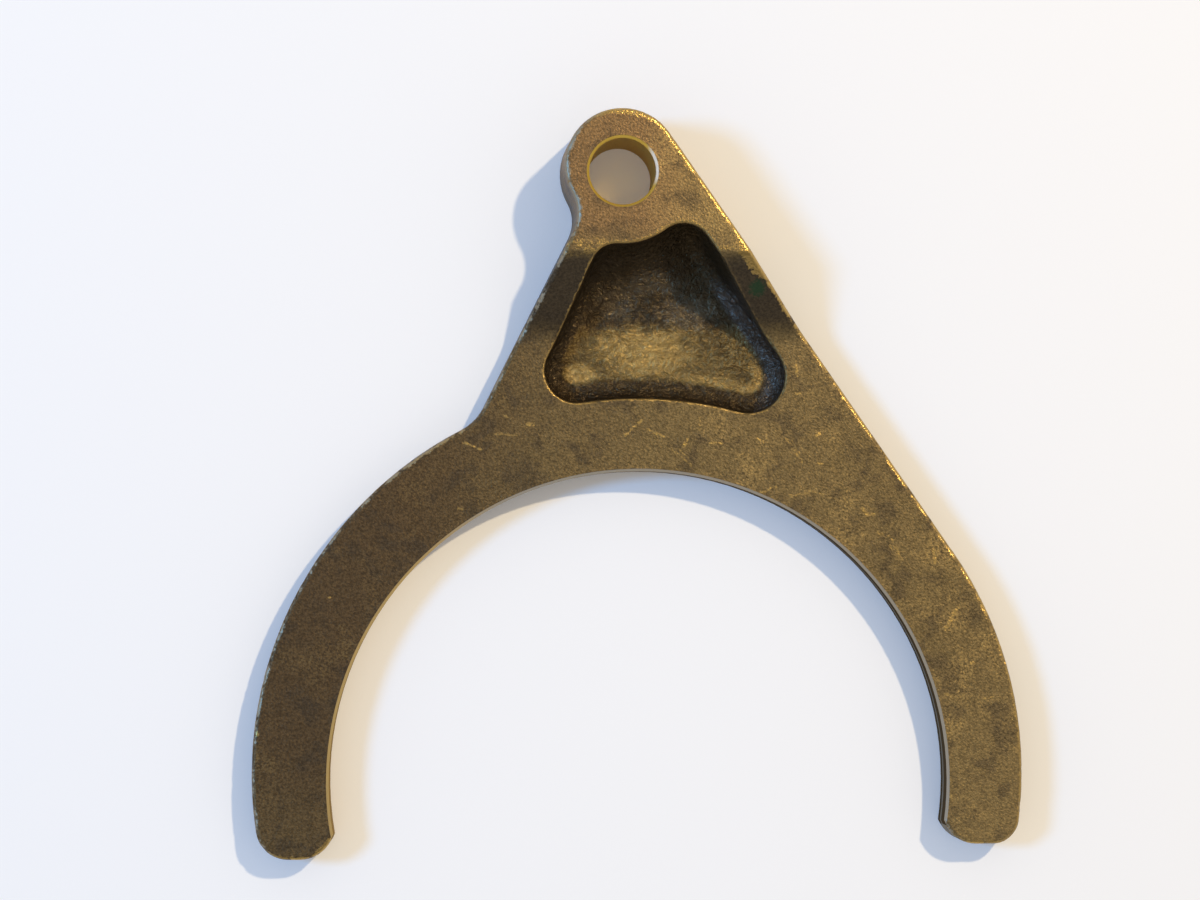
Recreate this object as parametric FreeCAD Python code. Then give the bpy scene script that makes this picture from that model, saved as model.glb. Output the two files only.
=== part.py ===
import FreeCAD, Part
import math
import os

# Shift fork: one bronze casting, machined only in its throat and its bore.
# Millimetres. The origin is on the throat's axis, on the flat back of the fork.
# +Y runs from the throat towards the eye, +Z is the face that carries the pocket.

# Throat and arms
throat_radius = 47.8
throat_chamfer = 0.4
throat_stock = 0.5          # metal left on the casting where the throat is bored out
arm_width = 11.8            # at the level of the throat's axis
arm_thickness = 6.3
crown_growth = 1.3          # how far the outer arc's centre lies above the throat's axis

# Ends of the arms, measured down from the throat's axis
left_end = 11.9
right_end = 10.0
left_outer_corner = 5.0
left_inner_corner = 5.5
right_outer_corner = 4.0
right_inner_corner = 6.0

# Eye, its bore and the neck below it
eye_reach = 46.5            # from the top of the throat to the centre of the eye's round
eye_shift = 3.0             # the eye stands this far to the left of the throat's axis
eye_radius = 9.0            # at the level of the arm face
eye_thickness = 14.3
bore_radius = 5.1
bore_chamfer = 0.4
bore_drop = 0.9             # the bore's axis lies this far below the centre of the round

# Left flank: a straight side that leans away from upright
flank_lean = 26.6           # degrees
flank_outset = 2.4          # its line, carried on, passes this far to the left of the eye's centre
neck_fillet = 6.0
flank_fillet = 8.0

# Ramp between the arm face and the raised face of the eye
ramp_top = 12.4             # from the bore's axis down to the upper edge of the ramp
ramp_slope = 35.0           # degrees from level
ramp_top_round = 1.6
ramp_foot_round = 7.0

# Pocket in the crown
pocket_floor = 2.2          # metal left under the pocket
crown_band = 11.3           # from the throat to the lower rim of the pocket
left_wall = 5.3
right_wall = 5.0
boss_wall = 6.5             # metal round the bore, above the pocket
low_left_corner = 5.0
low_right_corner = 5.7
peak_corner = 3.8
neck_corner = 3.4
pocket_fillet = 2.9
scoop_round = 11.5          # the wide round between the pocket's floor and the wall below the eye

# Casting
outer_draft = 1.5           # degrees
pocket_draft = 4.0          # degrees
edge_round = 0.65
back_chamfer = 0.4
rim_round = 0.35

# Worked-out sizes
throat_centre = (0.0, 0.0)
outer_radius = throat_radius + arm_width
outer_centre = (0.0, crown_growth)
eye_centre = (-eye_shift, throat_radius + eye_reach)
bore_centre = (-eye_shift, throat_radius + eye_reach - bore_drop)
cast_throat = throat_radius - throat_stock
corner_limit = 0.45 * arm_width
outer_slope = math.tan(math.radians(outer_draft))
pocket_slope = math.tan(math.radians(pocket_draft))
clearance = 5.0             # how far the cutting shapes run past the metal
cutter_top = eye_thickness + clearance
touching = 1e-4             # edges nearer than this meet
upright_limit = 0.3         # a wall's normal rises or falls less than this
level_limit = 0.6           # a level face's normal rises or falls more than this


def toward(centre, distance, angle):
    """The point at a distance and an angle, in radians, from a centre."""
    return (centre[0] + distance * math.cos(angle), centre[1] + distance * math.sin(angle))


def angle_of(start, end):
    return math.atan2(end[1] - start[1], end[0] - start[0])


def apart(start, end):
    return math.hypot(end[0] - start[0], end[1] - start[1])


def on_line_from_circle(centre, distance, normal, reach, side):
    """The point at a distance from a centre whose height over the origin, along normal, is reach."""
    height = centre[0] * math.cos(normal) + centre[1] * math.sin(normal)
    foot = toward(centre, reach - height, normal)
    across = math.sqrt(distance ** 2 - (reach - height) ** 2)
    return toward(foot, across, normal + side * math.pi / 2)


def arc(centre, radius, start, end, bulge):
    """An arc of an outline, running anticlockwise where bulge is 1 and clockwise where it is -1.

    Bulge also says which way the arc moves when its outline is moved inwards: 1 makes it smaller.
    """
    while bulge * (end - start) < 0:
        end += bulge * 2 * math.pi
    while bulge * (end - start) > 2 * math.pi:
        end -= bulge * 2 * math.pi
    return centre, radius, start, end, bulge


def round_wire(arcs, inset, height):
    """A closed wire of arcs joined by straight lines, moved inwards by inset, at a height."""
    runs = []
    for centre, radius, start, end, bulge in arcs:
        size = radius - bulge * inset
        points = [toward(centre, size, angle) for angle in (start, (start + end) / 2, end)]
        runs.append([FreeCAD.Vector(x, y, height) for x, y in points])
    edges = []
    for index, (first, middle, last) in enumerate(runs):
        edges.append(Part.Arc(first, middle, last).toShape())
        following = runs[(index + 1) % len(runs)][0]
        if last.distanceToPoint(following) > touching:
            edges.append(Part.LineSegment(last, following).toShape())
    return Part.Wire(edges)


def arm_end(side, end, outer_corner, inner_corner):
    """The two corner arcs of an arm's end, as (outer centre, radius, inner centre, radius)."""
    outer_size = min(outer_corner, corner_limit)
    inner_size = min(inner_corner, corner_limit)
    outer_y = outer_size - end
    inner_y = inner_size - end
    outer_x = math.sqrt((outer_radius - outer_size) ** 2 - (outer_y - outer_centre[1]) ** 2)
    inner_x = math.sqrt((cast_throat + inner_size) ** 2 - inner_y ** 2)
    return (side * outer_x, outer_y), outer_size, (side * inner_x, inner_y), inner_size


def right_flank_normal():
    """The direction square to the line that touches the eye's round and the outer arc."""
    span = apart(outer_centre, eye_centre)
    heading = angle_of(outer_centre, eye_centre)
    return heading - math.acos((outer_radius - eye_radius) / span)


def left_flank():
    """The left flank's outward direction and its distance from the origin."""
    normal = math.pi - math.radians(flank_lean)
    height = eye_centre[0] * math.cos(normal) + eye_centre[1] * math.sin(normal)
    return normal, height + flank_outset


def outline():
    """The fork's outline at the level of the arm face, anticlockwise from the right arm's end."""
    down = -math.pi / 2
    straight = right_flank_normal()
    normal, reach = left_flank()

    right_outer, right_outer_size, right_inner, right_inner_size = arm_end(
        1, right_end, right_outer_corner, right_inner_corner)
    left_outer, left_outer_size, left_inner, left_inner_size = arm_end(
        -1, left_end, left_outer_corner, left_inner_corner)
    neck = on_line_from_circle(
        eye_centre, eye_radius + neck_fillet, normal, reach + neck_fillet, 1)
    foot = on_line_from_circle(
        outer_centre, outer_radius + flank_fillet, normal, reach + flank_fillet, -1)

    right_tip = angle_of(outer_centre, right_outer)
    left_tip = angle_of(outer_centre, left_outer)
    neck_start = angle_of(eye_centre, neck)
    foot_end = angle_of(outer_centre, foot)
    left_root = angle_of(throat_centre, left_inner)
    right_root = angle_of(throat_centre, right_inner)

    return [
        arc(right_outer, right_outer_size, down, right_tip, 1),
        arc(outer_centre, outer_radius, right_tip, straight, 1),
        arc(eye_centre, eye_radius, straight, neck_start, 1),
        arc(neck, neck_fillet, neck_start + math.pi, normal + math.pi, -1),
        arc(foot, flank_fillet, normal + math.pi, foot_end + math.pi, -1),
        arc(outer_centre, outer_radius, foot_end, left_tip, 1),
        arc(left_outer, left_outer_size, left_tip, down, 1),
        arc(left_inner, left_inner_size, down, left_root + math.pi, 1),
        arc(throat_centre, cast_throat, left_root, right_root, -1),
        arc(right_inner, right_inner_size, right_root + math.pi, down, 1),
    ]


def pocket_outline():
    """The pocket's rim at the level of the arm face, anticlockwise from its lower right corner."""
    ring = throat_radius + crown_band
    boss = bore_radius + boss_wall
    right = right_flank_normal()
    right_reach = outer_centre[1] * math.sin(right) + outer_radius - right_wall
    left, left_reach = left_flank()
    left_reach -= left_wall

    low_right = on_line_from_circle(
        throat_centre, ring + low_right_corner, right, right_reach - low_right_corner, 1)
    peak = on_line_from_circle(
        bore_centre, boss + peak_corner, right, right_reach - peak_corner, -1)
    top_left = on_line_from_circle(
        bore_centre, boss + neck_corner, left, left_reach - neck_corner, 1)
    low_left = on_line_from_circle(
        throat_centre, ring + low_left_corner, left, left_reach - low_left_corner, -1)

    ring_right = angle_of(throat_centre, low_right)
    ring_left = angle_of(throat_centre, low_left)
    boss_right = angle_of(bore_centre, peak)
    boss_left = angle_of(bore_centre, top_left)

    return [
        arc(low_right, low_right_corner, ring_right + math.pi, right, 1),
        arc(peak, peak_corner, right, boss_right + math.pi, 1),
        arc(bore_centre, boss, boss_right, boss_left, -1),
        arc(top_left, neck_corner, boss_left + math.pi, left, 1),
        arc(low_left, low_left_corner, left, ring_left + math.pi, 1),
        arc(throat_centre, ring, ring_left, ring_right, -1),
    ]


def tapered_solid(arcs, low, high, slope):
    """A solid between two heights whose sides lean inwards going up, true to size at the arm face."""
    base = round_wire(arcs, (low - arm_thickness) * slope, low)
    top = round_wire(arcs, (high - arm_thickness) * slope, high)
    return Part.makeLoft([base, top], True, True)


def side_view_above_face():
    """What is cut away above the arm face and the ramp, as a profile carried across the fork."""
    slope = math.radians(ramp_slope)
    edge_y = bore_centre[1] - ramp_top
    foot_y = edge_y - (eye_thickness - arm_thickness) / math.tan(slope)
    top_run = ramp_top_round * math.tan(slope / 2)
    foot_run = ramp_foot_round * math.tan(slope / 2)
    front = -outer_radius - clearance
    back = eye_centre[1] + eye_radius + clearance
    ceiling = cutter_top + clearance
    side = outer_radius + eye_shift + clearance

    def at(y, z):
        return FreeCAD.Vector(-side, y, z)

    foot_start = at(foot_y - foot_run, arm_thickness)
    foot_finish = at(foot_y + foot_run * math.cos(slope), arm_thickness + foot_run * math.sin(slope))
    foot_middle = at(
        foot_y - foot_run + ramp_foot_round * math.sin(slope / 2),
        arm_thickness + ramp_foot_round * (1 - math.cos(slope / 2)),
    )
    top_start = at(edge_y - top_run * math.cos(slope), eye_thickness - top_run * math.sin(slope))
    top_finish = at(edge_y + top_run, eye_thickness)
    top_middle = at(
        edge_y + top_run - ramp_top_round * math.sin(slope / 2),
        eye_thickness - ramp_top_round * (1 - math.cos(slope / 2)),
    )
    edges = [
        Part.LineSegment(at(front, arm_thickness), foot_start).toShape(),
        Part.Arc(foot_start, foot_middle, foot_finish).toShape(),
        Part.LineSegment(foot_finish, top_start).toShape(),
        Part.Arc(top_start, top_middle, top_finish).toShape(),
        Part.LineSegment(top_finish, at(back, eye_thickness)).toShape(),
        Part.LineSegment(at(back, eye_thickness), at(back, ceiling)).toShape(),
        Part.LineSegment(at(back, ceiling), at(front, ceiling)).toShape(),
        Part.LineSegment(at(front, ceiling), at(front, arm_thickness)).toShape(),
    ]
    face = Part.Face(Part.Wire(edges))
    return face.extrude(FreeCAD.Vector(2.0 * side, 0, 0))


def chamfered_cutter(centre, radius, chamfer, height):
    """A round cutter that opens out by the chamfer at the back and at the given height."""
    flare = chamfer + clearance
    profile = [
        (0, -clearance),
        (radius + flare, -clearance),
        (radius, chamfer),
        (radius, height - chamfer),
        (radius + flare, height + clearance),
        (0, height + clearance),
    ]
    corners = [FreeCAD.Vector(x, 0, z) for x, z in profile]
    face = Part.Face(Part.makePolygon(corners + corners[:1]))
    cutter = face.revolve(FreeCAD.Vector(0, 0, 0), FreeCAD.Vector(0, 0, 1), 360)
    cutter.translate(FreeCAD.Vector(centre[0], centre[1], 0))
    return cutter


def tilt_of(face):
    """How far a face looks upwards at its middle: 1 is level, 0 upright, -1 downwards."""
    low_u, high_u, low_v, high_v = face.ParameterRange
    return face.normalAt((low_u + high_u) / 2, (low_v + high_v) / 2).z


def edges_between(solid, is_first, is_second):
    """The edges where a face of one kind meets a face of the other."""
    found = []
    for edge in solid.Edges:
        tilts = [tilt_of(face) for face in solid.ancestorsOfType(edge, Part.Face)]
        if len(tilts) == 2 and is_first(min(tilts)) and is_second(max(tilts)):
            found.append(edge)
    return found


def is_upright(tilt):
    return abs(tilt) < upright_limit


def faces_up(tilt):
    return tilt > level_limit


def faces_down(tilt):
    return tilt < -level_limit


def casting():
    """The casting's outer form: drafted sides, the ramp, round upper edges and a chamfered back."""
    body = tapered_solid(outline(), 0.0, cutter_top, outer_slope)
    body = body.cut(side_view_above_face())
    body = body.removeSplitter()
    upper = edges_between(body, is_upright, faces_up)
    body = body.makeFillet(edge_round, upper)
    lower = edges_between(body, faces_down, is_upright)
    return body.makeChamfer(back_chamfer, lower)


def scoop():
    """What stays in the pocket under the eye: a ring whose hollow round lifts the floor to the wall."""
    draft = math.radians(pocket_draft)
    wall_foot = bore_radius + boss_wall + (arm_thickness - pocket_floor) * pocket_slope
    run = scoop_round / math.tan((math.pi / 2 + draft) / 2)
    middle = (wall_foot + run, pocket_floor + scoop_round)
    down = 1.5 * math.pi
    towards_wall = math.pi + draft
    foot = toward(middle, scoop_round, down)
    halfway = toward(middle, scoop_round, (down + towards_wall) / 2)
    head = toward(middle, scoop_round, towards_wall)
    inner = wall_foot - clearance
    base = pocket_floor - clearance
    around = [head, (inner, head[1]), (inner, base), (foot[0], base), foot]

    hollow = Part.Arc(*[FreeCAD.Vector(x, 0, z) for x, z in (foot, halfway, head)]).toShape()
    rest = Part.makePolygon([FreeCAD.Vector(x, 0, z) for x, z in around])
    face = Part.Face(Part.Wire([hollow] + rest.Edges))
    ring = face.revolve(FreeCAD.Vector(0, 0, 0), FreeCAD.Vector(0, 0, 1), 360)
    ring.translate(FreeCAD.Vector(bore_centre[0], bore_centre[1], 0))
    return ring


def pocket_cutter():
    """The pocket as a solid: drafted walls that run into its floor, and a scoop below the eye."""
    cutter = tapered_solid(pocket_outline(), pocket_floor, cutter_top, -pocket_slope)
    cutter = cutter.cut(scoop())
    return cutter.makeFillet(pocket_fillet, edges_between(cutter, faces_down, is_upright))


def pocketed(body):
    """The body with the pocket sunk into it and the pocket's rim rounded."""
    cutter = pocket_cutter()
    body = body.cut(cutter)
    faced = edges_between(body, is_upright, faces_up)
    rim = [edge for edge in faced if edge.distToShape(cutter)[0] < touching]
    return body.makeFillet(rim_round, rim)


def shift_fork():
    body = pocketed(casting())
    body = body.cut(chamfered_cutter(throat_centre, throat_radius, throat_chamfer, arm_thickness))
    body = body.cut(chamfered_cutter(bore_centre, bore_radius, bore_chamfer, eye_thickness))
    return body.Solids[0]


os.makedirs("parts", exist_ok=True)
fork = shift_fork()
print("valid", fork.isValid(), "volume", round(fork.Volume, 1), "faces", len(fork.Faces))
print("box", fork.BoundBox)
fork.exportStep("parts/shift_fork.step")
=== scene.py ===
"""The shift fork's looks: its cast and machined bronze, and the studio it lies in."""

import math

import bmesh
import bpy
import numpy as np
from mathutils.kdtree import KDTree
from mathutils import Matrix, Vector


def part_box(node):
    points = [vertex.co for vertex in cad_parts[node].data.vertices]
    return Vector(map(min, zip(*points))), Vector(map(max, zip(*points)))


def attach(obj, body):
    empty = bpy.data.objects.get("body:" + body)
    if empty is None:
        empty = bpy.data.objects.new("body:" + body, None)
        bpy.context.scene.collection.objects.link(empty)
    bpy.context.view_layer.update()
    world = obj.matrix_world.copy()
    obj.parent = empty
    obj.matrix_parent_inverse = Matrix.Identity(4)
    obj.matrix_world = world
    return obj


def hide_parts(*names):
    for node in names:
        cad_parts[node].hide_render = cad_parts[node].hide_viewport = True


bl_info = {
    "name": "Cast shift fork",
    "version": (1, 0, 0),
    "blender": (4, 5, 0),
    "location": "3D Viewport > Sidebar > Shift fork",
    "description": "Gives the shift fork its cast skin, its worn bronze and its studio",
    "category": "Object",
}

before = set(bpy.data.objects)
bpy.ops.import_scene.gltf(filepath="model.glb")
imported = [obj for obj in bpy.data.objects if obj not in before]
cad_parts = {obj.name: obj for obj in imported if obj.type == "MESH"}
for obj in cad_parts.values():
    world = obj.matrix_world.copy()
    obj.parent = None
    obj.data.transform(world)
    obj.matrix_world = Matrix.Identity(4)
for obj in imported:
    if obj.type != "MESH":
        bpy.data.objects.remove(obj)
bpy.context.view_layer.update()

MM = 0.001
PER_METRE = 1000.0

# Distances within which the points of the cut mesh are one
WELD = 0.002 * MM
ON_THE_CUT = 0.01 * MM
SLIVER = 0.02 * MM
CREASE = math.radians(30.0)
SKIN_SEED = 4.0


class ForkSizes(bpy.types.PropertyGroup):
    """Where the fork's surfaces lie, and how rough its cast skin is."""

    throat_radius: bpy.props.FloatProperty(
        name="Throat radius", description="From the throat's axis to its bored wall",
        default=47.8 * MM, unit="LENGTH", precision=5)
    throat_chamfer: bpy.props.FloatProperty(
        name="Throat chamfer", description="Width of the chamfer round the throat",
        default=0.4 * MM, unit="LENGTH", precision=5)
    bore_centre: bpy.props.FloatVectorProperty(
        name="Bore centre", description="Where the bore's axis stands",
        default=(-3.0 * MM, 93.4 * MM), size=2, unit="LENGTH", precision=5)
    bore_radius: bpy.props.FloatProperty(
        name="Bore radius", description="Radius of the bore in the eye",
        default=5.1 * MM, unit="LENGTH", precision=5)
    bore_chamfer: bpy.props.FloatProperty(
        name="Bore chamfer", description="Width of the chamfer at the bore's mouths",
        default=0.4 * MM, unit="LENGTH", precision=5)
    arm_face: bpy.props.FloatProperty(
        name="Arm face", description="Height of the arms' upper face",
        default=6.3 * MM, unit="LENGTH", precision=5)
    cell: bpy.props.FloatProperty(
        name="Cell", description="Spacing of the cuts that divide the casting's surface",
        default=0.6 * MM, unit="LENGTH", precision=5)
    skin_depth: bpy.props.FloatProperty(
        name="Skin depth", description="Depth of the waves in the cast skin",
        default=0.05 * MM, unit="LENGTH", precision=6)
    nick_depth: bpy.props.FloatProperty(
        name="Nick depth", description="Depth of the nicks along the cast edges",
        default=0.22 * MM, unit="LENGTH", precision=6)
    wrinkle_depth: bpy.props.FloatProperty(
        name="Wrinkle depth", description="Depth of the wrinkles in the pocket",
        default=0.18 * MM, unit="LENGTH", precision=6)


class BronzeColours(bpy.types.PropertyGroup):
    """The colours of the aged bronze, and of the light and shade painted on it."""

    patina: bpy.props.FloatVectorProperty(
        name="Patina", description="The brown skin of the aged casting",
        default=(0.094, 0.057, 0.024), size=3, subtype="COLOR", min=0.0, max=1.0)
    # Also the colour of the painted shade on the ramp and in the pocket
    dark_patina_and_shade: bpy.props.FloatVectorProperty(
        name="Dark patina", description="The skin where it is oldest and least touched",
        default=(0.055, 0.039, 0.023), size=3, subtype="COLOR", min=0.0, max=1.0)
    olive_patina: bpy.props.FloatVectorProperty(
        name="Olive patina", description="The greener skin of the right arm",
        default=(0.178, 0.121, 0.047), size=3, subtype="COLOR", min=0.0, max=1.0)
    red_patina: bpy.props.FloatVectorProperty(
        name="Red patina", description="The warmer skin of the eye",
        default=(0.245, 0.140, 0.056), size=3, subtype="COLOR", min=0.0, max=1.0)
    # Also used for painted highlights in the pocket and the warm lamp's painted light on the throat's left
    rubbed: bpy.props.FloatVectorProperty(
        name="Rubbed bronze", description="Where handling has worn the skin to the metal",
        default=(0.520, 0.340, 0.110), size=3, subtype="COLOR", min=0.0, max=1.0)
    machined: bpy.props.FloatVectorProperty(
        name="Machined bronze", description="The bored throat and eye",
        default=(0.800, 0.540, 0.090), size=3, subtype="COLOR", min=0.0, max=1.0)
    # Partly painted highlight: worn edges, painted silvery on the left for the cool lamp's light on them
    bared_and_cool_lit: bpy.props.FloatVectorProperty(
        name="Bared metal", description="The silvery metal of the left edges, which have lost their skin",
        default=(0.330, 0.280, 0.200), size=3, subtype="COLOR", min=0.0, max=1.0)
    # Also the colour of the painted grey streak of reflection on the throat's wall
    grey_bevel_and_streak: bpy.props.FloatVectorProperty(
        name="Dull bevel", description="The greyed chamfer round the throat",
        default=(0.340, 0.300, 0.240), size=3, subtype="COLOR", min=0.0, max=1.0)
    # Painted sheen: the cool lamp's light on the pocket's right wall, in grey
    cool_sheen: bpy.props.FloatVectorProperty(
        name="Soot", description="The greyed skin on the pocket's right wall",
        default=(0.115, 0.095, 0.078), size=3, subtype="COLOR", min=0.0, max=1.0)
    # Painted reflection: the pale band across the middle of the pocket's scoop
    pale_sheen: bpy.props.FloatVectorProperty(
        name="Scuffed skin", description="The paler skin in the middle of the pocket's scoop",
        default=(0.185, 0.140, 0.085), size=3, subtype="COLOR", min=0.0, max=1.0)
    verdigris: bpy.props.FloatVectorProperty(
        name="Verdigris", description="The green stain on the ramp",
        default=(0.020, 0.055, 0.022), size=3, subtype="COLOR", min=0.0, max=1.0)


class StudioSettings(bpy.types.PropertyGroup):
    """The floor, the two lamps, the fill light and the camera."""

    floor_colour: bpy.props.FloatVectorProperty(
        name="Floor", description="Colour of the pale floor",
        default=(0.80, 0.80, 0.805), size=3, subtype="COLOR", min=0.0, max=1.0)
    floor_glow: bpy.props.FloatVectorProperty(
        name="Floor's glow", description="How much paler the floor shows to the camera",
        default=(0.105, 0.100, 0.100), size=3, subtype="COLOR", min=0.0, max=1.0)
    floor_size: bpy.props.FloatProperty(
        name="Floor size", description="Side of the floor",
        default=4.0, unit="LENGTH")
    warm_place: bpy.props.FloatVectorProperty(
        name="Warm lamp's place", description="Where the warm lamp hangs",
        default=(0.500, 0.555, 0.930), size=3, subtype="TRANSLATION", unit="LENGTH")
    warm_colour: bpy.props.FloatVectorProperty(
        name="Warm lamp's colour", description="Colour of the warm lamp",
        default=(1.0, 0.80, 0.50), size=3, subtype="COLOR", min=0.0, max=1.0)
    warm_power: bpy.props.FloatProperty(
        name="Warm lamp's power", description="Power of the warm lamp",
        default=8.0, unit="POWER")
    warm_size: bpy.props.FloatProperty(
        name="Warm lamp's size", description="Width of the warm lamp, which softens its shadow",
        default=0.045, unit="LENGTH")
    cool_place: bpy.props.FloatVectorProperty(
        name="Cool lamp's place", description="Where the cool lamp hangs",
        default=(-0.800, 0.149, 0.800), size=3, subtype="TRANSLATION", unit="LENGTH")
    cool_colour: bpy.props.FloatVectorProperty(
        name="Cool lamp's colour", description="Colour of the cool lamp",
        default=(0.14, 0.46, 1.0), size=3, subtype="COLOR", min=0.0, max=1.0)
    cool_power: bpy.props.FloatProperty(
        name="Cool lamp's power", description="Power of the cool lamp",
        default=6.8, unit="POWER")
    cool_size: bpy.props.FloatProperty(
        name="Cool lamp's size", description="Width of the cool lamp, which softens its shadow",
        default=0.24, unit="LENGTH")
    fill_colour: bpy.props.FloatVectorProperty(
        name="Fill light", description="Colour of the light from all round",
        default=(0.49, 0.465, 0.425), size=3, subtype="COLOR", min=0.0, max=1.0)
    ceiling_colour: bpy.props.FloatVectorProperty(
        name="Ceiling", description="Colour of the room overhead, as the metal mirrors it",
        default=(0.40, 0.40, 0.40), size=3, subtype="COLOR", min=0.0, max=1.0)
    camera_place: bpy.props.FloatVectorProperty(
        name="Camera's place", description="Where the camera stands, nearly overhead",
        default=(-0.02769, 0.04181, 0.45013), size=3, subtype="TRANSLATION", unit="LENGTH")
    camera_turn: bpy.props.FloatVectorProperty(
        name="Camera's turn", description="How the camera is turned from straight down",
        default=(math.radians(1.195), math.radians(-2.786), 0.0), size=3, subtype="EULER",
        unit="ROTATION")
    camera_lens: bpy.props.FloatProperty(
        name="Lens", description="Focal length, in millimetres on a 36 mm frame",
        default=86.28)


class Wire:
    """A socket that a node gives out. Arithmetic on it adds Math nodes."""

    def __init__(self, net, socket):
        self.net = net
        self.socket = socket

    def __add__(self, other):
        return self.net.math("ADD", self, other)

    def __radd__(self, other):
        return self.net.math("ADD", other, self)

    def __sub__(self, other):
        return self.net.math("SUBTRACT", self, other)

    def __rsub__(self, other):
        return self.net.math("SUBTRACT", other, self)

    def __mul__(self, other):
        return self.net.math("MULTIPLY", self, other)

    def __rmul__(self, other):
        return self.net.math("MULTIPLY", other, self)


class Net:
    """A node tree, and the ways in which its nodes are added."""

    def __init__(self, tree):
        self.tree = tree

    def node(self, kind, settings=None, inputs=None, output=0):
        """Add a node, set its settings, feed its sockets, and give back one of its outputs."""
        made = self.tree.nodes.new(kind)
        for name, value in (settings or {}).items():
            setattr(made, name, value)
        for name, value in (inputs or {}).items():
            if isinstance(value, Wire):
                self.tree.links.new(value.socket, made.inputs[name])
            else:
                made.inputs[name].default_value = value
        return Wire(self, made.outputs[output]) if made.outputs else None

    def outputs(self, kind):
        """Every output of a new node, by name."""
        made = self.tree.nodes.new(kind)
        return {socket.name: Wire(self, socket) for socket in made.outputs if socket.name}

    def math(self, operation, *values, clamp=False):
        settings = {"operation": operation, "use_clamp": clamp}
        return self.node("ShaderNodeMath", settings, dict(enumerate(values)))

    def vector(self, operation, *values, output=0):
        return self.node("ShaderNodeVectorMath", {"operation": operation}, dict(enumerate(values)), output)

    def scaled(self, vector, factor):
        return self.node("ShaderNodeVectorMath", {"operation": "SCALE"}, {0: vector, "Scale": factor})

    def parts(self, vector):
        """The X, Y and Z of a vector."""
        made = self.node("ShaderNodeSeparateXYZ", {}, {"Vector": vector}).socket.node
        return [Wire(self, socket) for socket in made.outputs]

    def rise(self, value, low, high):
        """0 where the value is below low, 1 above high, smooth between them."""
        settings = {"interpolation_type": "SMOOTHSTEP"}
        inputs = {"Value": value, "From Min": low, "From Max": high}
        return self.node("ShaderNodeMapRange", settings, inputs)

    def fall(self, value, low, high):
        """1 where the value is below low, 0 above high, smooth between them."""
        return 1 - self.rise(value, low, high)

    def blend(self, share, base, other, mode="MIX"):
        """A colour that goes from base to other as share goes from 0 to 1."""
        settings = {"data_type": "RGBA", "blend_type": mode}
        return self.node("ShaderNodeMix", settings, {0: share, 6: as_colour(base), 7: as_colour(other)}, 2)

    def noise(self, place, scale, detail=2.0, roughness=0.5, distortion=0.0, output=0):
        inputs = {
            "Vector": place, "Scale": scale, "Detail": detail, "Roughness": roughness,
            "Distortion": distortion}
        return self.node("ShaderNodeTexNoise", {}, inputs, output)


def as_colour(value):
    return value if isinstance(value, Wire) else (*value[:3], 1.0)


def finely_cut(node, cell, name):
    """A merged copy of a solid's mesh, cut on a grid so that no face is wider than a cell."""
    mesh = node.data.copy()
    mesh.name = name
    if "custom_normal" in mesh.attributes:
        mesh.attributes.remove(mesh.attributes["custom_normal"])
    cut = bmesh.new()
    cut.from_mesh(mesh)
    bmesh.ops.remove_doubles(cut, verts=cut.verts, dist=WELD)
    low, high = (np.array(corner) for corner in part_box(node.name))
    for axis in range(3):
        normal = [0.0, 0.0, 0.0]
        normal[axis] = 1.0
        count = int((high[axis] - low[axis]) / cell)
        for step in range(1, count + 1):
            point = [0.0, 0.0, 0.0]
            point[axis] = low[axis] + (step - 0.5) * (high[axis] - low[axis]) / count
            everything = cut.verts[:] + cut.edges[:] + cut.faces[:]
            bmesh.ops.bisect_plane(cut, geom=everything, dist=ON_THE_CUT, plane_co=point, plane_no=normal)
    bmesh.ops.remove_doubles(cut, verts=cut.verts, dist=SLIVER)
    bmesh.ops.triangulate(cut, faces=cut.faces)
    slivers = [face for face in cut.faces if any(edge.is_boundary for edge in face.edges)]
    bmesh.ops.delete(cut, geom=slivers, context="FACES")
    cut.to_mesh(mesh)
    cut.free()
    return mesh


# The flanks of the fork seen from above: the direction each faces, and its distance from the throat's axis.
LEFT_FLANK = (math.radians(153.4), 47.3)
RIGHT_FLANK = (math.radians(34.8), 60.3)

# How far the pocket's rim keeps from the throat, the bore and the flanks, in millimetres
POCKET_MARGINS = (7.0, 4.0, 2.5)

# Slope of the upper surface along the fork, in millimetres and degrees
RAMP_PLACES = (67.4, 71.4, 80.6, 81.5)
RAMP_SLOPES = (0.0, 35.0, 35.0, 0.0)

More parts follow.
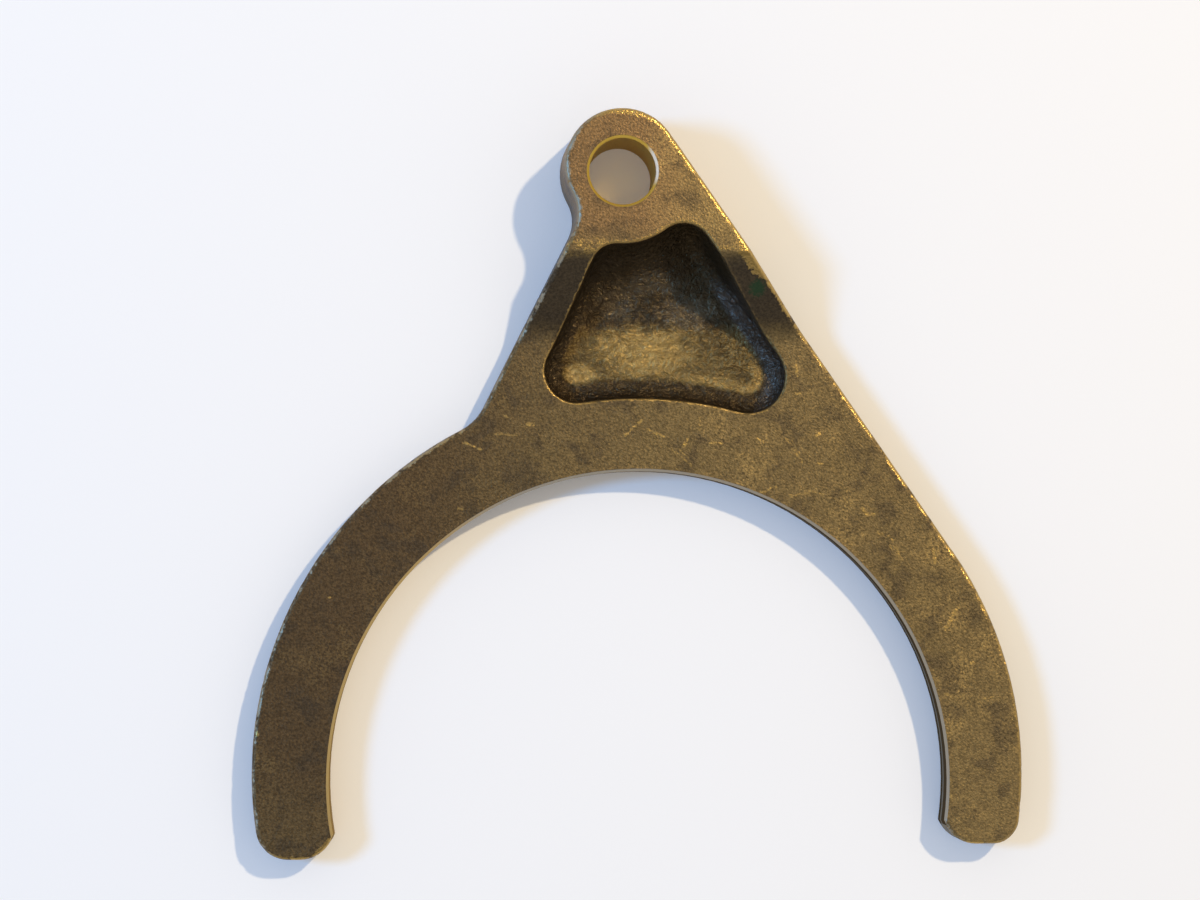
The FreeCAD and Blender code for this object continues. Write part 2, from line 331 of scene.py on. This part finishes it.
# Scratches and knocks on the arm face, in millimetres: start, end, half width, brightness
MARKS = (
    ((-2.2, 53.2), (0.3, 55.7), 0.22, 0.80),
    ((1.1, 54.3), (3.8, 53.1), 0.20, 0.70),
    ((6.9, 51.7), (7.5, 52.8), 0.30, 1.00),
    ((10.8, 52.2), (12.9, 52.1), 0.20, 0.70),
    ((27.6, 53.4), (28.3, 53.8), 0.35, 1.00),
    ((24.4, 64.9), (24.5, 62.6), 0.20, 0.80),
    ((24.3, 59.9), (24.9, 59.9), 0.22, 0.70),
    ((-17.2, 54.9), (-16.5, 55.1), 0.40, 0.80),
    ((-20.8, 56.3), (-19.9, 56.0), 0.20, 0.60),
    ((-22.3, 53.6), (-18.6, 53.4), 0.20, 0.35),
    ((5.3, 51.1), (8.2, 48.6), 0.20, 0.35),
    ((5.9, 51.4), (7.6, 50.0), 0.16, 0.30),
    ((18.3, 52.8), (19.3, 52.3), 0.22, 0.60),
    ((22.8, 52.9), (25.3, 49.2), 0.22, 0.40),
    ((23.7, 52.6), (24.9, 50.6), 0.18, 0.35),
    ((27.8, 49.0), (28.4, 49.0), 0.22, 0.60),
    ((9.3, 56.1), (9.4, 54.2), 0.18, 0.35),
    ((18.7, 44.5), (21.3, 45.5), 0.20, 0.50),
    ((23.4, 43.9), (26.6, 44.6), 0.20, 0.35),
    ((26.1, 44.9), (29.0, 44.1), 0.18, 0.30),
    ((34.7, 42.2), (35.3, 41.2), 0.28, 0.70),
    ((35.3, 41.2), (36.6, 41.1), 0.28, 0.60),
    ((45.8, 35.8), (46.0, 33.7), 0.28, 0.70),
    ((49.5, 26.7), (47.7, 23.4), 0.35, 0.50),
    ((51.5, 18.1), (52.1, 18.1), 0.22, 0.90),
    ((53.6, 12.5), (55.3, 12.9), 0.20, 0.50),
    ((39.4, 37.3), (40.7, 34.1), 0.24, 0.35),
    ((38.9, 36.4), (40.1, 35.0), 0.20, 0.30),
    ((47.3, 13.3), (48.5, 13.1), 0.20, 0.50),
    ((37.0, 38.3), (38.6, 37.7), 0.25, 0.50),
    ((-27.1, 52.2), (-24.4, 51.1), 0.20, 0.60),
    ((-47.9, 28.4), (-47.6, 28.4), 0.20, 0.60),
    ((-28.0, 42.0), (-27.3, 42.0), 0.25, 0.40),
)

# Directions of the rubbed strokes, in degrees
STROKE_ANGLES = (-62.0, -18.0, 71.0)

# Where the ramp ends in the eye face, and the places of the worn shoulder and the stain, in millimetres
RAMP_HEAD = 81.8
SHOULDER_WEAR = (16.2, 80.6)
STAIN = (17.9, 75.9)

# A rubbed patch on the pocket's floor, and a painted highlight in its lower left corner, in millimetres:
# centre, half widths
FLOOR_PATCH = ((1.2, 67.0), (7.6, 4.5))
CORNER_HIGHLIGHT = ((-9.4, 62.7), (3.4, 2.2))

# Painted highlight: a whitish glint on the right of the bore's upper chamfer
GLINT_COLOUR = (0.95, 0.93, 0.88)

# Painted reflection: pale patches on the pocket's scoop, in millimetres: centre, half widths
PALE_SHEEN_PATCHES = (
    ((2.2, 77.0), (5.4, 2.0)),
    ((-3.3, 75.0), (3.0, 3.4)),
    ((7.9, 72.6), (4.6, 2.8)),
)


def smooth_rise(value, low, high):
    share = np.clip((value - low) / (high - low), 0.0, 1.0)
    return share * share * (3.0 - 2.0 * share)


def read_vectors(collection, name):
    flat = np.empty(len(collection) * 3)
    collection.foreach_get(name, flat)
    return flat.reshape(-1, 3)


def surface_above(along, arm_face):
    """Height and slope angle of the fork's upper surface at places along the fork, in millimetres."""
    places = np.linspace(RAMP_PLACES[0], RAMP_PLACES[-1], 400)
    angles = np.radians(np.interp(places, RAMP_PLACES, RAMP_SLOPES))
    steps = np.tan(angles) * (places[1] - places[0])
    heights = arm_face + np.concatenate(([0.0], np.cumsum((steps[1:] + steps[:-1]) / 2.0)))
    slope = np.radians(np.interp(along, RAMP_PLACES, RAMP_SLOPES))
    return np.interp(along, places, heights), slope


def distance_to(place, chosen):
    """How far each point lies from the nearest chosen one, and which one that is."""
    indices = np.flatnonzero(chosen)
    tree = KDTree(len(indices))
    for index in indices:
        tree.insert(place[index], int(index))
    tree.balance()
    found = [tree.find(point) for point in place]
    return np.array([hit[2] for hit in found]), np.array([hit[1] for hit in found])


def write_regions(mesh, sizes):
    """Store where each point lies: on a cast edge, in the pocket, and how far from the rims."""
    place = read_vectors(mesh.vertices, "co") * PER_METRE
    normal = read_vectors(mesh.vertices, "normal")
    x, y, z = place.T
    height, slope = surface_above(y, sizes.arm_face * PER_METRE)
    depth = height - z
    facing = -normal[:, 1] * np.sin(slope) + normal[:, 2] * np.cos(slope)
    facing = np.clip(facing, 0.0, 1.0)

    from_throat = np.hypot(x, y) - sizes.throat_radius * PER_METRE
    bore = np.array(sizes.bore_centre) * PER_METRE
    from_bore = np.hypot(x - bore[0], y - bore[1]) - sizes.bore_radius * PER_METRE
    throat_margin, bore_margin, flank_margin = POCKET_MARGINS
    inside = (from_throat > throat_margin) & (from_bore > bore_margin)
    for angle, reach in (LEFT_FLANK, RIGHT_FLANK):
        inside &= x * math.cos(angle) + y * math.sin(angle) < reach - flank_margin

    throat_chamfer = sizes.throat_chamfer * PER_METRE
    bore_chamfer = sizes.bore_chamfer * PER_METRE
    machined = np.maximum(
        smooth_rise(-from_throat, -throat_chamfer - 0.15, -throat_chamfer),
        smooth_rise(-from_bore, -bore_chamfer - 0.15, -bore_chamfer))
    pocket = np.where(inside, smooth_rise(depth, 0.3, 1.6), 0.0)
    edge = 4.0 * facing * (1.0 - facing) * smooth_rise(-depth, -1.3, -0.7) * (1.0 - machined)
    rim, nearest = distance_to(place, (edge > 0.5) & ~inside)
    lip, nearest_lip = distance_to(place, (edge > 0.5) & inside)
    regions = {
        "edge": edge, "pocket": pocket, "cast": 1.0 - machined,
        "rim": rim, "lip": lip, "side": normal[nearest, 0],
        "lip_side": normal[nearest_lip, 0]}
    for name, values in regions.items():
        attribute = mesh.attributes.new(name, "FLOAT", "POINT")
        attribute.data.foreach_set("value", values.astype(np.float32))


def cast_skin_tree():
    """Nodes that sink a finely cut mesh a little: waves, nicks on its edges, wrinkles in its pocket."""
    tree = bpy.data.node_groups.new("Cast skin", "GeometryNodeTree")
    tree.interface.new_socket("Geometry", in_out="INPUT", socket_type="NodeSocketGeometry")
    for name in ("Wave depth", "Nick depth", "Wrinkle depth", "Seed"):
        tree.interface.new_socket(name, in_out="INPUT", socket_type="NodeSocketFloat")
    tree.interface.new_socket("Bronze", in_out="INPUT", socket_type="NodeSocketMaterial")
    tree.interface.new_socket("Geometry", in_out="OUTPUT", socket_type="NodeSocketGeometry")
    net = Net(tree)
    given = net.outputs("NodeGroupInput")

    def region(name):
        return net.node("GeometryNodeInputNamedAttribute", {"data_type": "FLOAT"}, {"Name": name})

    place = net.scaled(net.node("GeometryNodeInputPosition"), PER_METRE)
    waves = seeded_noise(net, place, given["Seed"], 0.22, 2.0)
    nicks = net.rise(seeded_noise(net, place, given["Seed"] + 3.0, 0.55, 2.0), 0.56, 0.68)
    wrinkles = seeded_noise(net, place, given["Seed"] + 7.0, 0.75, 1.5)
    sink = waves * given["Wave depth"]
    sink = sink + nicks * region("edge") * given["Nick depth"]
    sink = sink + wrinkles * region("pocket") * given["Wrinkle depth"]
    sink = sink * region("cast") * -1.0
    offset = net.scaled(net.node("GeometryNodeInputNormal"), sink)
    skin = net.node("GeometryNodeSetPosition", {}, {"Geometry": given["Geometry"], "Offset": offset})
    real = net.node("GeometryNodeRealizeInstances", {}, {"Geometry": skin})
    dressed = net.node("GeometryNodeSetMaterial", {}, {"Geometry": real, "Material": given["Bronze"]})
    net.node("NodeGroupOutput", {}, {"Geometry": dressed})
    return tree


def seeded_noise(net, place, seed, scale, detail):
    inputs = {"Vector": place, "W": seed, "Scale": scale, "Detail": detail}
    return net.node("ShaderNodeTexNoise", {"noise_dimensions": "4D"}, inputs)


def made_plain(holder, tree, values):
    """Run a geometry tree on an object and keep its result as the object's plain mesh."""
    modifier = holder.modifiers.new(tree.name, "NODES")
    modifier.node_group = tree
    sockets = {item.name: item.identifier for item in tree.interface.items_tree if item.in_out == "INPUT"}
    for name, value in values.items():
        modifier[sockets[name]] = value
    holder.update_tag()
    shown = bpy.context.evaluated_depsgraph_get()
    result = bpy.data.meshes.new_from_object(holder.evaluated_get(shown))
    holder.modifiers.remove(modifier)
    holder.data = result
    return holder


class BronzeNet(Net):
    """The casting's material: aged skin, worn edges, machined throat and bore."""

    def __init__(self, tree, colours, sizes):
        super().__init__(tree)
        self.colours = colours
        self.sizes = sizes
        self.place = self.scaled(self.node("ShaderNodeTexCoord", output="Object"), PER_METRE)
        self.x, self.y, self.z = self.parts(self.place)
        self.flat_place = self.node("ShaderNodeCombineXYZ", {}, {"X": self.x, "Y": self.y, "Z": 0.0})
        self.facing_x, _, self.facing_up = self.parts(self.node("ShaderNodeNewGeometry", output="Normal"))
        self.pocket = self.region("pocket")

    def region(self, name):
        return self.node("ShaderNodeAttribute", {"attribute_name": name}, output="Fac")

    def away_from(self, centre):
        """Distance from an upright axis, in millimetres."""
        offset = self.vector("SUBTRACT", self.flat_place, (centre[0], centre[1], 0.0))
        return self.vector("LENGTH", offset, output="Value")

    def machined(self):
        """The throat and the bore, each with its chamfers, as masks."""
        sizes = self.sizes
        throat = (sizes.throat_radius + sizes.throat_chamfer) * PER_METRE
        bore = (sizes.bore_radius + sizes.bore_chamfer) * PER_METRE
        centre = [value * PER_METRE for value in sizes.bore_centre]
        in_throat = self.fall(self.away_from((0.0, 0.0)), throat - 0.03, throat + 0.02)
        in_bore = self.fall(self.away_from(centre), bore - 0.03, bore + 0.02)
        return in_throat, in_bore

    def shaken(self, scale, width):
        """The place on the faces, shifted to and fro so that lines drawn on it waver."""
        shake = self.noise(self.flat_place, scale, 2.0, output="Color")
        shake = self.vector("SUBTRACT", shake, (0.5, 0.5, 0.5))
        return self.vector("ADD", self.flat_place, self.vector("MULTIPLY", shake, (width, width, 0.0)))

    def greatest(self, masks):
        total = masks[0]
        for mask in masks[1:]:
            total = self.math("MAXIMUM", total, mask)
        return total

    def mark(self, wobbly, start, end, width):
        """A soft-edged line between two points of the arm face."""
        run = (end[0] - start[0], end[1] - start[1], 0.0)
        square = run[0] ** 2 + run[1] ** 2
        from_start = self.vector("SUBTRACT", wobbly, (*start, 0.0))
        run_share = tuple(value / square for value in run)
        share = self.vector("DOT_PRODUCT", from_start, run_share, output="Value")
        share = self.math("MULTIPLY", share, 1.0, clamp=True)
        along = self.scaled(run, share)
        across = self.vector("LENGTH", self.vector("SUBTRACT", from_start, along), output="Value")
        return self.fall(across, width * 0.3, width * 1.15)

    def marks(self):
        """All scratches and knocks on the arm face, as one mask."""
        wobbly = self.shaken(1.3, 0.7)
        total = self.greatest([self.mark(wobbly, start, end, width) * strength
                               for start, end, width, strength in MARKS])
        broken = self.rise(self.noise(self.place, 1.6, 3.0), 0.34, 0.56)
        return total * broken * self.rise(self.facing_up, 0.9, 0.97) * self.rise(self.z, 5.5, 6.0)

    def patch_at(self, centre, half, uneven):
        """An oval patch on the faces, with an uneven edge."""
        offset = self.vector("SUBTRACT", self.flat_place, (*centre, 0.0))
        reach = self.vector("DIVIDE", offset, (*half, 1.0))
        return self.fall(self.vector("LENGTH", reach, output="Value") + uneven, 0.45, 1.30)

    def strokes(self, angle, place):
        """Fine rubbed lines that all run one way across the arm face."""
        turned = self.node("ShaderNodeVectorRotate", {}, {"Vector": place, "Angle": math.radians(angle)})
        drawn_out = self.vector("MULTIPLY", turned, (0.22, 1.7, 0.2))
        return self.rise(self.noise(drawn_out, 0.8, 3.0, 0.6), 0.54, 0.74)

    def rubs(self, blotch):
        """Patches where strokes in three directions have rubbed the skin, most on the right shoulder."""
        place = self.shaken(0.35, 5.0)
        patches = self.noise(self.place, 0.13, 3.0, 0.6)
        drawn = self.greatest([self.strokes(angle, self.vector("ADD", place, (angle, 0.0, angle)))
                               for angle in STROKE_ANGLES])
        shoulder = 0.25 + self.rise(self.x + (blotch - 0.5) * 20.0, -6.0, 24.0) * 0.75
        eye = self.rise(self.x, -2.0, 5.0) * self.rise(self.y, 82.0, 88.0) * 1.3
        amount = self.math("MAXIMUM", shoulder, eye)
        soft = self.rise(patches, 0.48, 0.66)
        return (drawn * 0.75 + 0.25) * soft * amount * self.rise(self.facing_up, 0.85, 0.97)

    def skin(self):
        """The aged skin's colour, before wear, with painted shade on the ramp."""
        colours = self.colours
        blotch = self.noise(self.place, 0.055, 4.0, 0.6)
        patch = self.noise(self.place, 0.21, 4.0, 0.62, 0.4)
        grain = self.noise(self.place, 2.6, 3.0, 0.70)
        right = self.rise(self.x + (blotch - 0.5) * 26.0, -42.0, 8.0)
        tip = self.fall(self.y, -12.0, 6.0) * 0.35
        right = self.math("MAXIMUM", right, tip)
        base = self.blend(right, colours.patina, colours.olive_patina)
        eye = self.rise(self.y + (blotch - 0.5) * 6.0, 81.0, 87.0) * self.fall(self.x, -1.0, 14.0)
        base = self.blend(eye * 0.8, base, colours.red_patina)
        polished = self.rise(self.x + (blotch - 0.5) * 8.0, 0.0, 8.0) * self.rise(self.y, 80.0, 86.0)
        base = self.blend(polished * 0.22, base, colours.rubbed)
        old = self.rise(patch, 0.50, 0.64) * 0.52
        base = self.blend(old, base, colours.dark_patina_and_shade)
        # Painted shade: the ramp faces away from the lamps, so its skin is darkened here
        ramp = self.rise(self.y, 67.5, 72.0) * self.fall(self.y + (patch - 0.5) * 4.0, 79.2, RAMP_HEAD)
        ramp = ramp * (1 - self.pocket)
        base = self.blend(ramp * (0.82 + right * 0.10), base, colours.dark_patina_and_shade)
        low_right = self.rise(self.x, 36.0, 50.0) * self.fall(self.y, -4.0, 26.0)
        level = 0.62 + self.rise(grain, 0.30, 0.70) * 0.74 + low_right * 0.22
        speck = self.blend(1.0, base, self.grey(level), "MULTIPLY")
        return speck, blotch, grain

    def grey(self, value):
        return self.node("ShaderNodeCombineColor", {}, {0: value, 1: value, 2: value})

    def wear(self):
        """Where the skin is worn off along the cast edges, the ramp's head and the pocket's rim."""
        chips = self.noise(self.place, 1.5, 4.0, 0.7)
        wander = self.noise(self.flat_place, 0.28, 3.0, 0.6)
        rim = self.region("rim")
        shoulder = self.fall(self.away_from(SHOULDER_WEAR), 1.5, 5.0)
        eye = self.rise(self.y, 84.0, 90.0) * 0.25
        left = self.fall(self.region("side"), -0.5, -0.1)
        reach = self.rise(wander, 0.36, 0.62) * 0.45 + 0.10 + eye + shoulder * 0.9 - left * 0.22
        outer = self.rise(reach - rim + (chips - 0.5) * (1.3 + shoulder * 2.4), 0.0, 0.25)
        upper_lip = self.rise(self.y, 75.0, 79.0)
        lower_lip = self.fall(self.region("lip") - upper_lip * 0.18 - (chips - 0.5) * 1.5, 0.06, 0.30)
        lower_lip = lower_lip * self.rise(self.facing_up, 0.45, 0.75)
        lower_lip = lower_lip * (0.15 + self.rise(self.region("lip_side"), -0.55, -0.25) * 0.85)
        across = self.fall(self.x, -6.0, -3.0) * 0.9 + 0.3
        head = self.fall(self.math("ABSOLUTE", self.y - RAMP_HEAD), across * 0.4, across * 1.5)
        head = head * self.rise(chips, 0.48, 0.60)
        head = head * self.rise(self.z, 13.0, 13.5)
        return outer, self.math("MAXIMUM", lower_lip * 0.8, head), left

    def in_pocket(self, colour):
        """The pocket: painted shade and a pale painted reflection on its scoop, a rubbed floor with painted
        highlights, and a painted cool sheen on its right wall.
        """
        colours = self.colours
        shade = self.noise(self.place, 0.35, 4.0, 0.6, 0.6)
        ragged = self.noise(self.place, 0.80, 4.0, 0.7, 0.8)
        uneven = (shade - 0.5) * 1.4 + (ragged - 0.5) * 1.6
        lip = self.region("lip")
        low_end = self.fall(self.y + (shade - 0.5) * 4.0, 68.5, 71.5)
        low_wall = self.fall(lip, 4.5, 5.4) * self.fall(self.y, 64.0, 66.5) * self.pocket
        floor = self.rise(self.facing_up, 0.93, 0.995) * self.pocket * low_end * (1 - low_wall)
        # Painted shade: the pocket darkened all over but on its level floor, which is left lighter and a
        # little more golden
        pocket_shade = self.pocket * (1 - floor * 0.65)
        colour = self.blend(pocket_shade * 0.85, colour, colours.dark_patina_and_shade)
        colour = self.blend(floor * 0.14, colour, colours.rubbed)

        # Painted reflection: pale patches across the scoop's slope
        pale_sheen_mask = self.greatest([self.patch_at(centre, half, uneven * 1.1) for centre, half in PALE_SHEEN_PATCHES])
        pale_sheen_mask = pale_sheen_mask * self.pocket * self.rise(self.facing_up, 0.45, 0.62)
        colour = self.blend(pale_sheen_mask * 0.55, colour, colours.pale_sheen)
        # Painted sheen: grey on the pocket's walls that face the cool lamp
        cool_sheen_mask = self.fall(self.facing_x, -0.36, -0.05) * self.pocket * self.fall(self.y, 74.0, 79.0) * 0.85
        colour = self.blend(cool_sheen_mask, colour, colours.cool_sheen)

        # Painted highlight: a golden line along the lower wall's foot and a bright spot in the lower left
        # corner; the floor patch is rubbed metal
        foot_highlight = self.rise(lip, 4.7, 5.2) * self.fall(lip, 5.5, 6.5) * self.fall(self.y, 63.0, 65.5)
        foot_highlight = foot_highlight * self.pocket * (0.15 + self.rise(self.x, 4.0, 9.0) * 0.45)
        patch = self.patch_at(*FLOOR_PATCH, uneven)
        corner = self.patch_at(*CORNER_HIGHLIGHT, uneven * 0.5)
        rubbed = self.math("MAXIMUM", patch, corner) * floor * (0.55 + self.rise(ragged, 0.35, 0.60) * 0.45)
        rubbed = self.math("MAXIMUM", rubbed, foot_highlight)
        return self.blend(rubbed * 0.86, colour, colours.rubbed), pocket_shade

    def with_wear(self, colour, blotch, grain, cast):
        """Strokes on the faces, worn and chipped edges, and knocks. Gives the colour and two masks."""
        colours = self.colours
        rubs = self.rubs(blotch) * (1 - self.pocket)
        colour = self.blend(rubs * self.rise(grain, 0.35, 0.60) * 0.75, colour, colours.rubbed)
        outer, inner, left = self.wear()
        # Worn edges; those on the left are painted silvery for the cool lamp's highlight on them
        worn_colour = self.blend(left, colours.rubbed, colours.bared_and_cool_lit)
        colour = self.blend(outer * cast * 0.9, colour, worn_colour)
        colour = self.blend(inner * cast * 0.8, colour, colours.rubbed)
        marks = self.math("MINIMUM", self.marks() * 1.35, 1.0) * cast
        colour = self.blend(marks, colour, colours.rubbed)
        return colour, self.greatest([outer, inner, marks]), outer * left

    def with_stain(self, colour, grain):
        """The spot of verdigris on the ramp."""
        stain = self.fall(self.away_from(STAIN) + (grain - 0.5) * 2.2, 0.6, 1.7) * (1 - self.pocket)
        return self.blend(stain * 0.85, colour, self.colours.verdigris)

    def build(self):
        """Join skin, pocket, wear and cut metal to one material, with its roughness, metal and relief."""
        colours = self.colours
        in_throat, in_bore = self.machined()
        machined = self.math("MAXIMUM", in_throat, in_bore)
        cast = 1 - machined
        colour, blotch, grain = self.skin()
        colour, pocket_shade = self.in_pocket(colour)
        colour, worn, chipped = self.with_wear(colour, blotch, grain, cast)
        colour = self.with_stain(colour, grain)

        # Cut metal, with its turning lines: chamfers and bore in gloss, the throat's wall dull. Painted
        # light on them: the warm lamp's gold on the throat's left, a glint on the bore's chamfer, a grey
        # streak of reflection on the wall
        turning = self.noise(self.vector("MULTIPLY", self.place, (0.05, 0.05, 3.0)), 1.0, 3.0, 0.7)
        bevel = self.rise(self.facing_up, 0.45, 0.60)
        # Painted light: the left of the throat, which faces the warm lamp, made golden on its chamfer and
        # wall
        lit = self.fall(self.x, -36.0, -18.0)
        dull = self.blend(lit * 0.85, colours.grey_bevel_and_streak, colours.rubbed)
        bore = self.blend(0.55 + turning * 0.45, colours.patina, colours.machined)
        # Painted highlight: a whitish glint on the right of the bore's upper chamfer
        glint = self.rise(self.x - self.sizes.bore_centre[0] * PER_METRE, 3.6, 4.8) * bevel
        bore = self.blend(glint * self.rise(self.y, 91.0, 92.5) * 0.9, bore, GLINT_COLOUR)
        colour = self.blend(in_throat, colour, self.blend(bevel, colours.dark_patina_and_shade, dull))
        colour = self.blend(in_bore, colour, bore)
        # Painted reflection: a grey streak along the middle of the throat's wall
        reflected_streak = self.rise(self.z, 1.8, 2.4) * self.fall(self.z, 2.8, 3.4) * (0.1 + turning * 0.7)
        cut = self.blend(turning, colours.dark_patina_and_shade, colours.patina)
        cut = self.blend(reflected_streak, self.blend(lit * 0.45, cut, colours.rubbed), colours.grey_bevel_and_streak)

        rough = 0.44 + (grain - 0.5) * 0.25 - worn * 0.14 - pocket_shade * 0.10 + chipped * 0.18
        rough = rough * cast + (0.24 + turning * 0.12) * machined
        metal = 0.55 + self.math("MAXIMUM", worn, self.pocket * 0.8) * 0.40
        metal = self.math("MAXIMUM", metal, machined) - in_bore * 0.25

        # Fine pebbled skin, crinkled in the pocket
        pebble = self.noise(self.place, 3.0, 2.0, 0.6)
        crinkle = self.noise(self.place, 0.95, 3.0, 0.6, 1.6)
        relief = pebble * 0.085 + crinkle * self.pocket * 0.50
        relief = relief * cast + turning * machined * 0.02
        bump = self.node("ShaderNodeBump", {}, {"Height": relief, "Strength": 1.0, "Distance": MM})

        bright = self.node("ShaderNodeBsdfPrincipled", {}, {
            "Base Color": colour, "Metallic": metal, "Roughness": rough, "Specular IOR Level": 0.3,
            "Normal": bump})
        dull_wall = self.node("ShaderNodeBsdfPrincipled", {}, {
            "Base Color": cut, "Metallic": 0.0, "Roughness": 0.9, "Specular IOR Level": 0.0})
        wall = in_throat * (1 - bevel)
        surface = self.node("ShaderNodeMixShader", {}, {0: wall, 1: bright, 2: dull_wall})
        self.node("ShaderNodeOutputMaterial", {}, {"Surface": surface})


def new_material(name):
    material = bpy.data.materials.new(name)
    material.use_nodes = True
    material.node_tree.nodes.clear()
    return material


class DressCasting(bpy.types.Operator):
    """Cut the casting finely, give it its cast skin and its aged bronze, and let it stand for the solid"""

    bl_idname = "shift_fork.dress_casting"
    bl_label = "Dress the casting"

    def execute(self, context):
        sizes = context.scene.fork_sizes
        bronze = new_material("Aged bronze")
        BronzeNet(bronze.node_tree, context.scene.bronze_colours, sizes).build()

        mesh = finely_cut(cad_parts["shift_fork"], sizes.cell, "fork_casting")
        mesh.shade_smooth()
        mesh.set_sharp_from_angle(angle=CREASE)
        write_regions(mesh, sizes)
        mesh.materials.clear()
        casting = bpy.data.objects.new("fork_casting", mesh)
        context.scene.collection.objects.link(casting)
        values = {
            "Wave depth": sizes.skin_depth, "Nick depth": sizes.nick_depth,
            "Wrinkle depth": sizes.wrinkle_depth, "Seed": SKIN_SEED, "Bronze": bronze}
        made_plain(casting, cast_skin_tree(), values)
        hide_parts("shift_fork")
        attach(casting, "root")
        return {"FINISHED"}


# The room as the metal mirrors it: its pale walls, and a dark corner on the near side
WALL_COLOUR = (0.90, 0.90, 0.90)
DARK_CORNER = (0.05, 0.05, 0.05)


class SetStudio(bpy.types.Operator):
    """Lay the pale floor, hang the warm and the cool lamp, and stand the camera nearly overhead"""

    bl_idname = "shift_fork.set_studio"
    bl_label = "Set the studio"

    def execute(self, context):
        studio = context.scene.studio_settings
        self.lay_floor(context, studio)
        self.fill_room(context, studio)
        warm = (studio.warm_place, studio.warm_colour, studio.warm_power, studio.warm_size)
        cool = (studio.cool_place, studio.cool_colour, studio.cool_power, studio.cool_size)
        self.hang_lamp(context, "Warm lamp", *warm)
        self.hang_lamp(context, "Cool lamp", *cool)
        self.stand_camera(context, studio)
        context.scene.view_settings.view_transform = "Standard"
        return {"FINISHED"}

    def lay_floor(self, context, studio):
        half = studio.floor_size / 2.0
        corners = [(-half, -half, 0.0), (half, -half, 0.0), (half, half, 0.0), (-half, half, 0.0)]
        mesh = bpy.data.meshes.new("floor")
        mesh.from_pydata(corners, [], [(0, 1, 2, 3)])
        paper = new_material("Pale paper")
        net = Net(paper.node_tree)
        to_camera = net.node("ShaderNodeLightPath", output="Is Camera Ray")
        glow = net.blend(to_camera, (0.0, 0.0, 0.0), studio.floor_glow)
        shader = net.node("ShaderNodeBsdfPrincipled", {}, {
            "Base Color": as_colour(studio.floor_colour), "Roughness": 0.9, "Specular IOR Level": 0.1,
            "Emission Color": glow, "Emission Strength": 1.0})
        net.node("ShaderNodeOutputMaterial", {}, {"Surface": shader})
        mesh.materials.append(paper)
        floor = bpy.data.objects.new("floor", mesh)
        context.scene.collection.objects.link(floor)

    def fill_room(self, context, studio):
        world = bpy.data.worlds.new("Room")
        world.use_nodes = True
        world.node_tree.nodes.clear()
        net = Net(world.node_tree)
        _, forward, height = net.parts(net.node("ShaderNodeTexCoord", output="Generated"))
        behind = forward * -1.0
        shade = net.rise(behind, 0.20, 0.60) * net.rise(height, 0.16, 0.36)
        room = net.blend(net.rise(height, 0.15, 0.60), WALL_COLOUR, studio.ceiling_colour)
        room = net.blend(shade * 0.6, room, DARK_CORNER)
        path = net.outputs("ShaderNodeLightPath")
        seen = net.math("MAXIMUM", path["Is Camera Ray"], path["Is Glossy Ray"])
        colour = net.blend(seen, studio.fill_colour, room)
        light = net.node("ShaderNodeBackground", {}, {"Color": colour, "Strength": 1.0})
        net.node("ShaderNodeOutputWorld", {}, {"Surface": light})
        context.scene.world = world

    def hang_lamp(self, context, name, place, colour, power, size):
        light = bpy.data.lights.new(name, "AREA")
        light.shape = "DISK"
        light.size = size
        light.color = colour
        light.energy = power
        lamp = bpy.data.objects.new(name, light)
        lamp.location = place
        middle = (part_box("shift_fork")[0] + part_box("shift_fork")[1]) / 2.0
        lamp.rotation_euler = (middle - lamp.location).to_track_quat("-Z", "Y").to_euler()
        context.scene.collection.objects.link(lamp)

    def stand_camera(self, context, studio):
        lens = bpy.data.cameras.new("Overhead camera")
        lens.sensor_fit = "HORIZONTAL"
        lens.sensor_width = 36.0
        lens.lens = studio.camera_lens
        lens.clip_start = 0.01
        lens.clip_end = 20.0
        camera = bpy.data.objects.new("Overhead camera", lens)
        camera.location = studio.camera_place
        camera.rotation_euler = studio.camera_turn
        context.scene.collection.objects.link(camera)
        context.scene.camera = camera


class ForkPanel(bpy.types.Panel):
    """Lists the fork's sizes, colours and studio, and the steps that build them"""

    bl_idname = "SHIFT_FORK_PT_panel"
    bl_label = "Shift fork"
    bl_space_type = "VIEW_3D"
    bl_region_type = "UI"
    bl_category = "Shift fork"

    def draw(self, context):
        layout = self.layout
        for title, group in (
                ("Sizes", context.scene.fork_sizes),
                ("Bronze", context.scene.bronze_colours),
                ("Studio", context.scene.studio_settings)):
            box = layout.box()
            box.label(text=title)
            for name in group.bl_rna.properties.keys():
                if name not in ("rna_type", "name"):
                    box.prop(group, name)
        layout.operator(DressCasting.bl_idname)
        layout.operator(SetStudio.bl_idname)


CLASSES = (ForkSizes, BronzeColours, StudioSettings, DressCasting, SetStudio, ForkPanel)


def register():
    for each in CLASSES:
        bpy.utils.register_class(each)
    bpy.types.Scene.fork_sizes = bpy.props.PointerProperty(type=ForkSizes)
    bpy.types.Scene.bronze_colours = bpy.props.PointerProperty(type=BronzeColours)
    bpy.types.Scene.studio_settings = bpy.props.PointerProperty(type=StudioSettings)


def unregister():
    del bpy.types.Scene.studio_settings
    del bpy.types.Scene.bronze_colours
    del bpy.types.Scene.fork_sizes
    for each in reversed(CLASSES):
        bpy.utils.unregister_class(each)


def main():
    register()
    bpy.ops.shift_fork.dress_casting()
    bpy.ops.shift_fork.set_studio()


if __name__ == "__main__":
    main()
